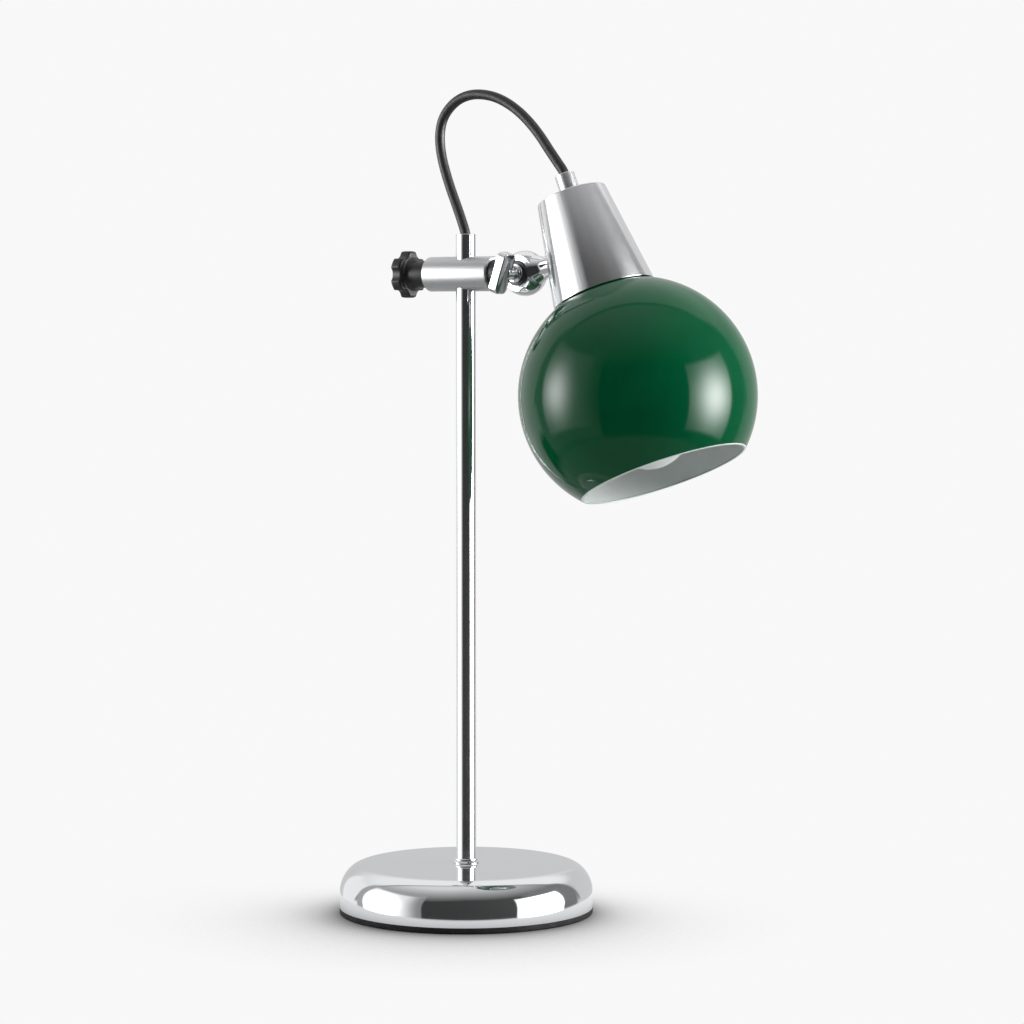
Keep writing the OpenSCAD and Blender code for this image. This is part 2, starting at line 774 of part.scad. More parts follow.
module holder_dome() {
    color("#262626") on_head() difference() {
        translate([0, 0, holder_top]) cylinder(h = dome_h, r1 = holder_r - 1, r2 = dome_r);
        translate([0, 0, holder_top - 0.01])
            cylinder(h = dome_h - 4, r1 = holder_r - 1 - holder_wall, r2 = pipe_r + 3);
        cylinder(h = cap_high, r = pipe_r + 0.02);
    }
}

module holder_body() {
    color("#262626") on_head() difference() {
        union() {
            ring(skirt_end, skirt_h, holder_r);
            ring(shoulder_z, 3, shoulder_r);
            ring(shoulder_z + 2.9, holder_body_h - 2.9, holder_r);
        }
        translate([0, 0, skirt_end - cut])
            cylinder(h = skirt_h + holder_body_h + 2 * cut, r = holder_r - holder_wall);
    }
}

module holder_core() {
    color("ivory") on_head() difference() {
        ring(core_z, core_t, core_r);
        for (s = [-1, 1]) translate([s * wire_x, 0, core_z + 4]) cylinder(h = core_t, r = wire_r + 0.1);
    }
}

module screw_shell() {
    color("goldenrod") on_head() {
        ring(core_z - shell_h, shell_h, shell_r + shell_t, shell_r);
        ring(core_z - 1, 1, contact_r);
    }
}

module lead_wires() {
    low = core_z + 4.2;
    color("peru") on_head() for (s = [-1, 1]) translate([s * wire_x, 0, low])
        cylinder(h = holder_top + 1.9 - low, r = wire_r);
}

module shade_ring() {
    low = sqrt(pow(shade_r - shade_wall, 2) - pow(holder_r + ring_wall, 2)) - ring_h - slip;
    color("#262626") on_head() difference() {
        union() {
            ring(low, ring_h, holder_r + ring_wall);
            ring(low, 2.4, ring_r);
        }
        translate([0, 0, low - cut]) cylinder(h = ring_h + 2 * cut, r = holder_r + 0.02);
    }
}

module shade() {
    color("#0b5a35") on_head() difference() {
        sphere(r = shade_r, $fn = 120);
        sphere(r = shade_r - shade_wall, $fn = 120);
        translate([0, 0, -shade_r - mouth_drop]) cylinder(h = shade_r, r = shade_r);
        cylinder(h = shade_r + cut, r = hole_r);
    }
}

module bulb_glass() {
    shoulder = 12;
    color("whitesmoke") on_head() {
        translate([0, 0, bulb_mid]) sphere(r = bulb_r);
        translate([0, 0, bulb_mid + shoulder]) cylinder(h = bulb_cap_z - 0.3 - bulb_mid - shoulder,
            r1 = sqrt(bulb_r * bulb_r - shoulder * shoulder), r2 = bulb_neck_r);
        translate([0, 0, bulb_cap_z - 0.4]) cylinder(h = bulb_neck_z - bulb_cap_z + 0.4, r = bulb_neck_r);
    }
}

module bulb_cap() {
    color("lightgray") on_head() difference() {
        union() {
            ring(bulb_cap_z, bulb_cap_h - 4, bulb_cap_r);
            translate([0, 0, bulb_cap_z + bulb_cap_h - 4.01])
                cylinder(h = 4, r1 = bulb_cap_r, r2 = contact_r);
        }
        translate([0, 0, bulb_cap_z - cut])
            cylinder(h = bulb_neck_z - bulb_cap_z + cut + 0.02, r = bulb_neck_r + 0.02);
    }
}

// ---------------------------------------------------------------- thumb screw

module thumb_washer() {
    color("#303030") on_thumb() ring(flat_y + slip, thumb_washer_t, thumb_washer_r, thumb_r + fit);
}

module thumb_screw() {
    hub_y = flat_y + 2 * slip + thumb_washer_t;
    color("silver") on_thumb() {
        translate([0, 0, 0.3 - thumb_end]) cylinder(h = hub_y + thumb_end, r = thumb_r);
        translate([0, 0, hub_y]) cylinder(h = thumb_flange_t, r = thumb_flange_r);
        translate([0, 0, hub_y]) cylinder(h = thumb_plate_y - hub_y, r = thumb_hub_r);
        rotate([0, 0, -thumb_lean]) translate([0, 0, thumb_plate_y]) rotate([0, 90, 0])
            translate([0, 0, -thumb_plate_t / 2]) linear_extrude(thumb_plate_t) union() {
                square([thumb_plate_w, thumb_plate_h - 2 * plate_corner], center = true);
                square([thumb_plate_w - 2 * plate_corner, thumb_plate_h], center = true);
                for (x = [-1, 1], y = [-1, 1])
                    translate([x * (thumb_plate_w / 2 - plate_corner), y * (thumb_plate_h / 2 - plate_corner)])
                        circle(plate_corner);
            }
    }
}

foot_mat();
base_shell();
base_weight();
base_plate();
plate_screws();
inlet_grommet();
terminal_block();
terminal_screws();
cord_strap();
strap_screws();
column();
column_collar();
column_washer();
column_nut();
column_cord();
column_bush();
cord_rise();
clamp_sleeve();
set_screw();
cord_middle();
clamp_pad();
clamp_screw();
clamp_knob();
slip_washer();
knuckle_rear();
fibre_disc();
cord_drop();
knuckle_front();
saddle_washer();
stem_screw();
lamp_cap();
cap_neck();
neck_bush();
cap_pipe();
head_cord();
holder_dome();
holder_body();
holder_core();
screw_shell();
lead_wires();
shade_ring();
shade();
bulb_glass();
bulb_cap();
thumb_washer();
thumb_screw();
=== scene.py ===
"""Desk lamp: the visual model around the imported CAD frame. Lengths in the tables are in millimetres."""
import json
import math

import bmesh
import bpy
from mathutils import Matrix, Vector


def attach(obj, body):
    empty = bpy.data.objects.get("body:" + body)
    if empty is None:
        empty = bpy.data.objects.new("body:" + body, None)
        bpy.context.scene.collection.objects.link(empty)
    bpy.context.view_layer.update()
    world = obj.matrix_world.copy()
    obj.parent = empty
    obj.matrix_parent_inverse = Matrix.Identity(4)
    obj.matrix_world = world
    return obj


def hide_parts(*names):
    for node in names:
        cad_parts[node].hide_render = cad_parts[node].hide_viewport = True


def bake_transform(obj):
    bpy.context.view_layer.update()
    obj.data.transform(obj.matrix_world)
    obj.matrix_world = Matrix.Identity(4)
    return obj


MM = 0.001
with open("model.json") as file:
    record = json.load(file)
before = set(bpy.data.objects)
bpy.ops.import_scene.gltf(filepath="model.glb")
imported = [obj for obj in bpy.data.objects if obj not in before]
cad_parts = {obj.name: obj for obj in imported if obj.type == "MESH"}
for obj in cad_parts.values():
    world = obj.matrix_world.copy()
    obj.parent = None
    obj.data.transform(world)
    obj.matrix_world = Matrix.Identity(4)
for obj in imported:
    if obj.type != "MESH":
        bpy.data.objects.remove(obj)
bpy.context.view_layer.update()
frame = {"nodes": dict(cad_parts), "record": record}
nodes = frame["nodes"]

# ------------------------------------------------------------------ sizes, as in the CAD source
BASE_R, MAT_T, BASE_H, SHELL_WALL = 77.3, 3.5, 30.2, 1.2
SHOULDER_W, SHOULDER_H, DOME_RISE = 14.5, 18.0, 0.5
COLUMN_R, COLUMN_WALL, COLUMN_TOP, COLUMN_FOOT = 6.0, 1.25, 412.6, 20.0
COLLAR_H, COLLAR_W = 3.0, 1.95
CORD_R = 3.0
FIT, HAIR = 0.05, 0.02
STUD_R = PIPE_R = 5.0
THUMB_R, BUSH_FOOT, BUSH_GAP, BUSH_BORE = 3.0, 400.2, 0.4, 3.1
ARM_Z, SLEEVE_R, SLEEVE_BACK, SLEEVE_FRONT = 388.5, 10.5, 26.3, 21.5
BALL_X, BALL_R, FLAT_Y, SLIP_T = 44.1, 13.5, 8.2, 5.9
SHADE_R, SHADE_WALL, MOUTH_DROP, SHADE_HOLE = 70.0, 1.2, 49.0, 19.6
CAP_LOW_R, CAP_HIGH_R, CAP_H, CAP_WALL = 31.0, 21.0, 63.8, 1.2
CAP_LOW = math.sqrt(SHADE_R ** 2 - CAP_LOW_R ** 2)
CAP_HIGH = CAP_LOW + CAP_H
NECK_R, NECK_H = 6.0, 13.7
CAP_SLOPE = math.atan((CAP_LOW_R - CAP_HIGH_R) / CAP_H)
STEM_RISE, STEM_LEN, STEM_R = 31.0, 22.4, 6.5
STEM_Z = CAP_LOW + STEM_RISE
STEM_X = -(CAP_LOW_R - STEM_RISE * math.tan(CAP_SLOPE))
HEAD_LEAN = math.radians(22)
BULB_R, BULB_DROP, BULB_TOP = 25.0, 44.2, 40
CAMERA_TURN = math.radians(36)

LOOP = [(0, 400.2), (0, 406), (-0.2, 412.4), (-3, 420.5), (-7, 430), (-11, 439.2),
        (-14.6, 448.4), (-17.5, 457.4), (-19.2, 466), (-19.3, 474.4), (-17, 482.4), (-11.8, 489),
        (-4.4, 493.8), (4.5, 496), (14, 495.7), (23.2, 493.5), (32, 489.5), (40.4, 484),
        (48.2, 477.2), (55.4, 469.4), (61.8, 461.2), (67.5, 454.1), (72, 448.3), (74.6, 442)]
# numbers of the points where the loop's first and second stretch end
RISE_END, MIDDLE_END = 15, 18 + 2 / 3

# ------------------------------------------------------------------ frames of the pieces
WORLD = Matrix.Identity(4)
ARM = Matrix.Translation((0, 0, ARM_Z)) @ Matrix.Rotation(math.pi / 2, 4, "Y")
BALL = Matrix.Translation((BALL_X, 0, ARM_Z))
THUMB = BALL @ Matrix.Rotation(math.pi / 2, 4, "X")
BALL_HX = STEM_X - STEM_LEN * math.cos(CAP_SLOPE)
BALL_HZ = STEM_Z + STEM_LEN * math.sin(CAP_SLOPE)
HEAD = BALL @ Matrix.Rotation(-HEAD_LEAN, 4, "Y") @ Matrix.Translation((-BALL_HX, 0, -BALL_HZ))
STEM = (HEAD @ Matrix.Translation((STEM_X, 0, STEM_Z))
        @ Matrix.Rotation(math.pi / 2 + CAP_SLOPE, 4, "Y"))


# ------------------------------------------------------------------ mesh helpers
def finish_mesh(bm, name, place, materials, sharp=35):
    """Turns a bmesh in millimetres into an object in metres, smooth except at sharp edges."""
    bmesh.ops.recalc_face_normals(bm, faces=bm.faces)
    mesh = bpy.data.meshes.new(name)
    bm.to_mesh(mesh)
    bm.free()
    mesh.transform(Matrix.Scale(MM, 4) @ place)
    for polygon in mesh.polygons:
        polygon.use_smooth = True
    mesh.set_sharp_from_angle(angle=math.radians(sharp))
    for material in materials:
        mesh.materials.append(material)
    piece = bpy.data.objects.new(name, mesh)
    bpy.context.scene.collection.objects.link(piece)
    return piece


def rounded(points, radius, closed=True, steps=6):
    """A line of (r, z) points with each corner rounded; radius is one number or one per point."""
    made, count = [], len(points)
    for i, p in enumerate(points):
        r = radius[i] if isinstance(radius, (list, tuple)) else radius
        if r <= 0 or (not closed and i in (0, count - 1)):
            made.append(tuple(p))
            continue
        here = Vector(p)
        a, b = Vector(points[i - 1]) - here, Vector(points[(i + 1) % count]) - here
        half = a.angle(b) / 2
        reach = min(r / math.tan(half), 0.45 * a.length, 0.45 * b.length)
        if math.pi - 2 * half < 0.02:
            made.append(tuple(p))
            continue
        start, end = here + a.normalized() * reach, here + b.normalized() * reach
        turn = math.pi - 2 * half
        for k in range(steps + 1):
            t = k / steps
            # a circular arc between the two touching points, by weights on the corner's control net
            u = 0.5 - 0.5 * math.tan(turn * (0.5 - t)) / math.tan(turn / 2)
            c = math.cos(turn / 2)
            den = (1 - u) ** 2 + 2 * u * (1 - u) * c + u ** 2
            q = (start * (1 - u) ** 2 + here * 2 * u * (1 - u) * c + end * u ** 2) / den
            made.append((q.x, q.y))
    return made


def lathe(name, profile, place, materials, segments=192, closed=True, material_of=None):
    """A profile of (r, z) points turned round Z. material_of gives a band's material number."""
    bm = bmesh.new()
    rings = []
    for r, z in profile:
        if r < 1e-6:
            rings.append([bm.verts.new((0, 0, z))])
        else:
            rings.append([bm.verts.new((r * math.cos(a), r * math.sin(a), z))
                          for a in (2 * math.pi * k / segments for k in range(segments))])
    pairs = list(range(len(rings) - 1)) + ([len(rings) - 1] if closed else [])
    for i in pairs:
        a, b = rings[i], rings[(i + 1) % len(rings)]
        if len(a) == 1 and len(b) == 1:
            continue
        for k in range(segments):
            n = (k + 1) % segments
            corners = [a[0]] if len(a) == 1 else [a[k], a[n]]
            corners += [b[0]] if len(b) == 1 else [b[n], b[k]]
            face = bm.faces.new(corners)
            if material_of:
                face.material_index = material_of(i)
    return finish_mesh(bm, name, place, materials)


def cut(piece, cutter):
    """Takes the cutter out of the piece and removes the cutter."""
    modifier = piece.modifiers.new("cut", "BOOLEAN")
    modifier.operation, modifier.solver, modifier.object = "DIFFERENCE", "EXACT", cutter
    bpy.context.view_layer.update()
    now = bpy.context.evaluated_depsgraph_get()
    made = bpy.data.meshes.new_from_object(piece.evaluated_get(now))
    piece.modifiers.clear()
    piece.data = made
    for polygon in made.polygons:
        polygon.use_smooth = True
    made.set_sharp_from_angle(angle=math.radians(32))
    bpy.data.objects.remove(cutter)


def arc(radius, start, end, steps, centre=(0, 0)):
    """Points of a circle from one angle to another, in degrees."""
    return [(centre[0] + radius * math.cos(math.radians(start + (end - start) * i / steps)),
             centre[1] + radius * math.sin(math.radians(start + (end - start) * i / steps)))
            for i in range(steps + 1)]


# ------------------------------------------------------------------ materials
class Shader:
    """A small wrapper that builds one node material."""

    def __init__(self, name, colour, roughness, metallic=0.0, **sockets):
        self.material = bpy.data.materials.new(name)
        self.material.use_nodes = True
        self.tree = self.material.node_tree
        self.shader = self.tree.nodes["Principled BSDF"]
        self.set("Base Color", (*colour, 1))
        self.set("Roughness", roughness)
        self.set("Metallic", metallic)
        for socket, value in sockets.items():
            self.set(socket.replace("_", " "), value)
        self.place = self.node("ShaderNodeTexCoord").outputs["Object"]

    def set(self, socket, value):
        self.shader.inputs[socket].default_value = value

    def node(self, kind, **values):
        made = self.tree.nodes.new(kind)
        for key, value in values.items():
            setattr(made, key, value)
        return made

    def link(self, a, b):
        self.tree.links.new(a, b)

    def stretched(self, scale, rotate=(0, 0, 0), move=(0, 0, 0)):
        mapping = self.node("ShaderNodeMapping")
        mapping.inputs["Scale"].default_value = scale
        mapping.inputs["Rotation"].default_value = rotate
        mapping.inputs["Location"].default_value = move
        self.link(self.place, mapping.inputs["Vector"])
        return mapping.outputs["Vector"]

    def noise(self, scale, detail=4.0, rough=0.55, vector=None):
        made = self.node("ShaderNodeTexNoise")
        made.inputs["Scale"].default_value = scale
        made.inputs["Detail"].default_value = detail
        made.inputs["Roughness"].default_value = rough
        self.link(vector or self.place, made.inputs["Vector"])
        return made.outputs["Fac"]

    def ranged(self, value, low, high, new_low, new_high):
        made = self.node("ShaderNodeMapRange")
        sockets = ("From Min", "From Max", "To Min", "To Max")
        for socket, number in zip(sockets, (low, high, new_low, new_high)):
            made.inputs[socket].default_value = number
        self.link(value, made.inputs["Value"])
        return made.outputs["Result"]

    def rough_between(self, value, low, high):
        self.link(self.ranged(value, 0.3, 0.7, low, high), self.shader.inputs["Roughness"])

    def tint(self, value, one, two, low=0.35, high=0.65):
        ramp = self.node("ShaderNodeValToRGB")
        for stop, position, colour in zip(ramp.color_ramp.elements, (low, high), (one, two)):
            stop.position, stop.color = position, (*colour, 1)
        self.link(value, ramp.inputs["Fac"])
        self.link(ramp.outputs["Color"], self.shader.inputs["Base Color"])

    def bump(self, value, strength, distance, before=None):
        made = self.node("ShaderNodeBump")
        made.inputs["Strength"].default_value = strength
        made.inputs["Distance"].default_value = distance
        self.link(value, made.inputs["Height"])
        if before:
            self.link(before, made.inputs["Normal"])
        self.link(made.outputs["Normal"], self.shader.inputs["Normal"])
        return made.outputs["Normal"]


def along_axis(shader, place):
    """Object coordinates turned so that Z runs along the axis of a frame."""
    turn = place.to_3x3().inverted().to_euler()
    move = place.to_3x3().inverted() @ (place.translation * -MM)
    return shader.stretched((1, 1, 1), turn, move)


def turned_metal(name, colour, low, high, place, lines=900.0, strength=0.02, drawn=0.0):
    """Polished metal with fine lines round its frame's axis; drawn blurs reflections along that axis."""
    s = Shader(name, colour, (low + high) / 2, 0.9 if drawn else 0.965, Anisotropic=drawn)
    if drawn:
        way = s.node("ShaderNodeVectorTransform", vector_type="VECTOR",
                     convert_from="OBJECT", convert_to="WORLD")
        way.inputs[0].default_value = place.to_3x3() @ Vector((0, 0, 1))
        s.link(way.outputs[0], s.shader.inputs["Tangent"])
    axis = along_axis(s, place)
    split = s.node("ShaderNodeSeparateXYZ")
    s.link(axis, split.inputs[0])
    length = s.node("ShaderNodeVectorMath", operation="LENGTH")
    flat = s.node("ShaderNodeCombineXYZ")
    s.link(split.outputs[0], flat.inputs[0])
    s.link(split.outputs[1], flat.inputs[1])
    s.link(flat.outputs[0], length.inputs[0])
    across = s.node("ShaderNodeMath", operation="ADD")
    s.link(split.outputs[2], across.inputs[0])
    s.link(length.outputs["Value"], across.inputs[1])
    line = s.node("ShaderNodeCombineXYZ")
    s.link(across.outputs[0], line.inputs[2])
    fine = s.noise(lines, 3.0, 0.6, line.outputs[0])
    s.rough_between(s.noise(38.0, 5.0), low, high)
    before = s.bump(fine, strength, 0.0002)
    if drawn:
        angle = s.node("ShaderNodeMath", operation="ARCTAN2")
        s.link(split.outputs[0], angle.inputs[0])
        s.link(split.outputs[1], angle.inputs[1])
        streak = s.node("ShaderNodeCombineXYZ")
        s.link(angle.outputs[0], streak.inputs[0])
        s.link(split.outputs[2], streak.inputs[2])
        stretch = s.node("ShaderNodeVectorMath", operation="MULTIPLY")
        stretch.inputs[1].default_value = (26.0, 1.0, 9.0)
        s.link(streak.outputs[0], stretch.inputs[0])
        s.bump(s.noise(1.0, 4.0, 0.6, stretch.outputs[0]), 0.5, 0.00006, before)
    return s.material


CHROME = (0.80, 0.815, 0.83)
chrome_base = turned_metal("chrome_base", CHROME, 0.02, 0.045, WORLD, strength=0.01)
chrome_column = turned_metal("chrome_column", CHROME, 0.07, 0.11, WORLD, strength=0.003)
chrome_knuckle = turned_metal("chrome_knuckle", CHROME, 0.05, 0.085, THUMB, strength=0.006)
satin_sleeve = turned_metal("satin_sleeve", (0.52, 0.525, 0.535), 0.38, 0.44, ARM, 1400.0, 0.03, 0.4)
satin_cap = turned_metal("satin_cap", (0.73, 0.735, 0.75), 0.12, 0.16, HEAD, 1200.0, 0.02, 0.9)
satin_neck = turned_metal("satin_neck", (0.70, 0.705, 0.715), 0.24, 0.30, HEAD, 1400.0, 0.02, 0.7)
zinc_steel = turned_metal("zinc_steel", (0.55, 0.56, 0.57), 0.3, 0.45, WORLD)
brass_metal = turned_metal("brass_metal", (0.72, 0.52, 0.22), 0.22, 0.36, HEAD)


def plain(name, colour, second, low, high, grain=900.0, strength=0.15, depth=0.0001, metallic=0.0,
          **sockets):
    """A surface with a faint colour change, uneven gloss and a fine grain."""
    s = Shader(name, colour, (low + high) / 2, metallic, **sockets)
    s.tint(s.noise(60.0, 5.0), colour, second)
    s.rough_between(s.noise(90.0, 4.0), low, high)
    s.bump(s.noise(grain, 3.0), strength, depth)
    return s.material


rubber = plain("rubber", (0.005, 0.005, 0.005), (0.009, 0.009, 0.0085), 0.62, 0.8, 1800.0, 0.35, 0.0003,
               IOR=1.3)
knob_plastic = plain("knob_plastic", (0.003, 0.003, 0.0035), (0.005, 0.005, 0.0055), 0.38, 0.48,
                     1500.0, 0.12)
black_plastic = plain("black_plastic", (0.012, 0.012, 0.013), (0.02, 0.02, 0.02), 0.35, 0.5)
cord_pvc = plain("cord_pvc", (0.007, 0.007, 0.008), (0.011, 0.011, 0.011), 0.42, 0.55, 1300.0, 0.2,
                 0.0002)
fibre_board = plain("fibre_board", (0.10, 0.045, 0.02), (0.16, 0.075, 0.035), 0.6, 0.8)
ceramic = plain("ceramic", (0.72, 0.69, 0.62), (0.78, 0.76, 0.70), 0.25, 0.4)
white_plastic = plain("white_plastic", (0.70, 0.69, 0.64), (0.76, 0.75, 0.71), 0.3, 0.45)
cast_iron = plain("cast_iron", (0.06, 0.06, 0.062), (0.10, 0.098, 0.095), 0.5, 0.75, 700.0, 0.5,
                  0.0006, 0.8)
copper_lead = plain("copper_lead", (0.30, 0.12, 0.05), (0.38, 0.17, 0.08), 0.35, 0.5, metallic=0.6)
dark_steel = plain("dark_steel", (0.10, 0.10, 0.105), (0.16, 0.16, 0.165), 0.35, 0.5, metallic=0.9)
bulb_metal = plain("bulb_metal", (0.62, 0.62, 0.60), (0.70, 0.70, 0.69), 0.25, 0.4, metallic=1.0)
green_enamel = plain("green_enamel", (0.0004, 0.046, 0.0165), (0.0004, 0.051, 0.0185), 0.05, 0.09,
                     420.0, 0.02, 0.0001, IOR=1.33)
white_enamel = plain("white_enamel", (0.78, 0.82, 0.81), (0.82, 0.85, 0.84), 0.32, 0.42, 600.0, 0.05)
rim_enamel = plain("rim_enamel", (0.40, 0.47, 0.44), (0.46, 0.53, 0.50), 0.25, 0.35)
frosted_glass = plain("frosted_glass", (0.50, 0.55, 0.54), (0.55, 0.59, 0.58), 0.35, 0.45, 1500.0, 0.1)

SLOT_MATERIALS = {"chrome": chrome_column, "satin_metal": satin_sleeve, "zinc_steel": zinc_steel,
                  "cast_iron": cast_iron, "rubber": rubber, "black_plastic": black_plastic,
                  "cord_black": cord_pvc, "white_plastic": white_plastic, "ceramic": ceramic,
                  "brass": brass_metal, "copper_lead": copper_lead, "fibre": fibre_board,
                  "green_enamel": green_enamel, "bulb_glass": frosted_glass, "bulb_metal": bulb_metal}
for part in frame["record"]["subparts"]:
    piece = nodes[part["node"]]
    piece.data.materials.clear()
    piece.data.materials.append(SLOT_MATERIALS[part["material_slot"]])
for name in ("clamp_screw", "set_screw"):
    nodes[name].data.materials[0] = dark_steel


def stands_for(piece, body, slot, *replaced):
    """Makes a piece ride a body, in place of the named CAD nodes. The slot is not used."""
    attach(piece, body)
    if replaced:
        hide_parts(*replaced)


# ------------------------------------------------------------------ camera
camera = bpy.data.objects.new("camera", bpy.data.cameras.new("camera"))
bpy.context.scene.collection.objects.link(camera)
camera.location = (1.2158, -1.6259, 0.3607)
camera.rotation_euler = (math.radians(86.72), 0, CAMERA_TURN)
camera.data.lens, camera.data.sensor_width = 117.77, 36
camera.data.clip_start, camera.data.clip_end = 0.05, 60
bpy.context.scene.camera = camera

# ------------------------------------------------------------------ cord
# steps from one point of the loop to the next, and faces round the cord
SUB, SIDES = 6, 28


def spline(points, i, t):
    """A point and direction of the smooth curve through the points, between number i and the next."""
    p = [Vector(points[max(0, min(len(points) - 1, i + k))]) for k in (-1, 0, 1, 2)]
    if i == 0:
        p[0] = 2 * p[1] - p[2]
    if i + 2 > len(points) - 1:
        p[3] = 2 * p[2] - p[1]
    at = 0.5 * (2 * p[1] + (p[2] - p[0]) * t + (2 * p[0] - 5 * p[1] + 4 * p[2] - p[3]) * t * t
                + (3 * p[1] - p[0] - 3 * p[2] + p[3]) * t ** 3)
    way = 0.5 * ((p[2] - p[0]) + 2 * (2 * p[0] - 5 * p[1] + 4 * p[2] - p[3]) * t
                 + 3 * (3 * p[1] - p[0] - 3 * p[2] + p[3]) * t * t)
    return at, way.normalized()


def loop_at(step):
    """Point and direction of the loop after this many steps."""
    i = min(step // SUB, len(LOOP) - 2)
    return spline(LOOP, i, step / SUB - i)


def cord_piece(name, first, last, node):
    """One stretch of the loop, as a tube in place of the named CAD node."""
    line = [loop_at(k) for k in range(round(first * SUB), round(last * SUB) + 1)]
    bm = bmesh.new()
    rings = []
    for at, way in line:
        across = Vector((-way.y, way.x))
        rings.append([bm.verts.new((at.x + CORD_R * math.cos(q) * across.x, CORD_R * math.sin(q),
                                    at.y + CORD_R * math.cos(q) * across.y))
                      for q in (2 * math.pi * k / SIDES for k in range(SIDES))])
    for one, two in zip(rings, rings[1:]):
        for k in range(SIDES):
            n = (k + 1) % SIDES
            bm.faces.new((one[k], one[n], two[n], two[k]))
    bm.faces.new(rings[0][::-1])
    bm.faces.new(rings[-1])
    piece = finish_mesh(bm, name, WORLD, [cord_pvc], 60)
    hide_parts(node)
    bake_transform(piece)


cord_piece("loop_rise", 0, RISE_END,
           "cord_rise")
cord_piece("loop_middle", RISE_END, MIDDLE_END,
           "cord_middle")
cord_piece("loop_drop", MIDDLE_END, len(LOOP) - 1,
           "cord_drop")

# ------------------------------------------------------------------ base
mat_line = rounded([(0, 0), (BASE_R, 0), (BASE_R, MAT_T), (0, MAT_T)], [0, 0.7, 0.2, 0], False)
mat = lathe("foot_ring", mat_line, WORLD, [rubber], 256, False)
stands_for(mat, "stand", "rubber", "foot_mat")


def shoulder(t, steps=40):
    """The round shoulder of the base, t below its surface."""
    return [(BASE_R - SHOULDER_W + (SHOULDER_W - t) * math.cos(math.pi / 2 * i / steps),
             BASE_H - DOME_RISE - SHOULDER_H + (SHOULDER_H - t) * math.sin(math.pi / 2 * i / steps))
            for i in range(steps + 1)]


def dome(t, steps=30):
    """The slight dome from the shoulder to the collar's seat, t below its surface."""
    seat, edge = COLUMN_R + COLLAR_W + 1, BASE_R - SHOULDER_W
    rs = [edge + (seat - edge) * i / steps for i in range(1, steps + 1)]
    return [(r, BASE_H - DOME_RISE * ((r - seat) / (edge - seat)) ** 2 - t) for r in rs]


outside = [(BASE_R, MAT_T)] + shoulder(0) + dome(0) + [(COLUMN_R + FIT, BASE_H)]
inside = [(BASE_R - SHELL_WALL, MAT_T)] + shoulder(SHELL_WALL, 16) + dome(SHELL_WALL, 8) \
    + [(COLUMN_R + FIT, BASE_H - SHELL_WALL)]
shell = lathe("base_cover", outside + inside[::-1], WORLD, [chrome_base], 384)
stands_for(shell, "stand", "chrome", "base_shell")

# ------------------------------------------------------------------ column
bore = COLUMN_R - COLUMN_WALL
column_line = rounded([(bore, COLUMN_FOOT), (COLUMN_R, COLUMN_FOOT), (COLUMN_R, COLUMN_TOP),
                       (bore, COLUMN_TOP)], [0, 0, 0.5, 0.3])
column = lathe("column_tube", column_line, WORLD, [chrome_column], 128)
stands_for(column, "stand", "chrome", "column")
bead_r = 0.27 * COLLAR_H
bead_x = COLUMN_R + 0.68 * COLLAR_W - bead_r
flare_line = [(COLUMN_R + COLLAR_W, BASE_H), (COLUMN_R + COLLAR_W, BASE_H + 0.4),
              (COLUMN_R + 0.62 * COLLAR_W, BASE_H + 0.42 * COLLAR_H),
              (COLUMN_R + 0.56 * COLLAR_W, BASE_H + 0.5 * COLLAR_H)]
collar_line = [(COLUMN_R + HAIR, BASE_H)] + rounded(flare_line, [0.1, 0.15, 0.8, 0])
collar_line += arc(bead_r, -62, 90, 16, (bead_x, BASE_H + COLLAR_H - bead_r))
collar_line += [(COLUMN_R + HAIR, BASE_H + COLLAR_H)]
collar = lathe("column_bead", collar_line, WORLD, [chrome_column], 128)
stands_for(collar, "stand", "chrome", "column_collar")

# ------------------------------------------------------------------ arm clamp
sleeve_line = rounded([(0, -SLEEVE_BACK), (SLEEVE_R, -SLEEVE_BACK), (SLEEVE_R, SLEEVE_FRONT),
                       (0, SLEEVE_FRONT)], [0, 0.6, 0.6, 0], False)
sleeve = lathe("arm_sleeve", sleeve_line, ARM, [satin_sleeve], 192, False)
drill = COLUMN_R + FIT
hole = lathe("hole", [(0, -20), (drill, -20), (drill, 20), (0, 20)],
             Matrix.Translation((0, 0, ARM_Z)), [satin_sleeve], 128, False)
cut(sleeve, hole)
stands_for(sleeve, "clamp", "satin_metal", "clamp_sleeve")

# ------------------------------------------------------------------ knuckle
HALF_FRONT, HALF_REAR, HALF_FACE_R = 0.55, 0.5, 13.0
GROOVE_OUT_R, GROOVE_IN_R, GROOVE_DEPTH = 9.4, 8.3, 0.7


def latitude(height):
    """Angle above the ball's equator, in degrees, of a height on its surface."""
    return math.degrees(math.asin(height / BALL_R))


screw_r = THUMB_R + FIT
groove_line = [(10.72, FLAT_Y), (GROOVE_OUT_R, FLAT_Y), (GROOVE_OUT_R - 0.15, FLAT_Y - GROOVE_DEPTH),
               (GROOVE_IN_R + 0.15, FLAT_Y - GROOVE_DEPTH), (GROOVE_IN_R, FLAT_Y), (screw_r, FLAT_Y)]
ball_line = [(0, HALF_FRONT), (HALF_FACE_R, HALF_FRONT)]
ball_line += arc(BALL_R, latitude(HALF_FRONT) + 1, latitude(FLAT_Y) - 1.5, 24)
ball_line += rounded(groove_line, [0.3, 0.15, 0.2, 0.2, 0.15, 0.1], False, 4)
ball_line += [(screw_r, FLAT_Y - 5), (0, FLAT_Y - 5)]
ball_front = lathe("ball_front", ball_line, THUMB, [chrome_knuckle], 160, False)
stands_for(ball_front, "head", "chrome", "knuckle_front")
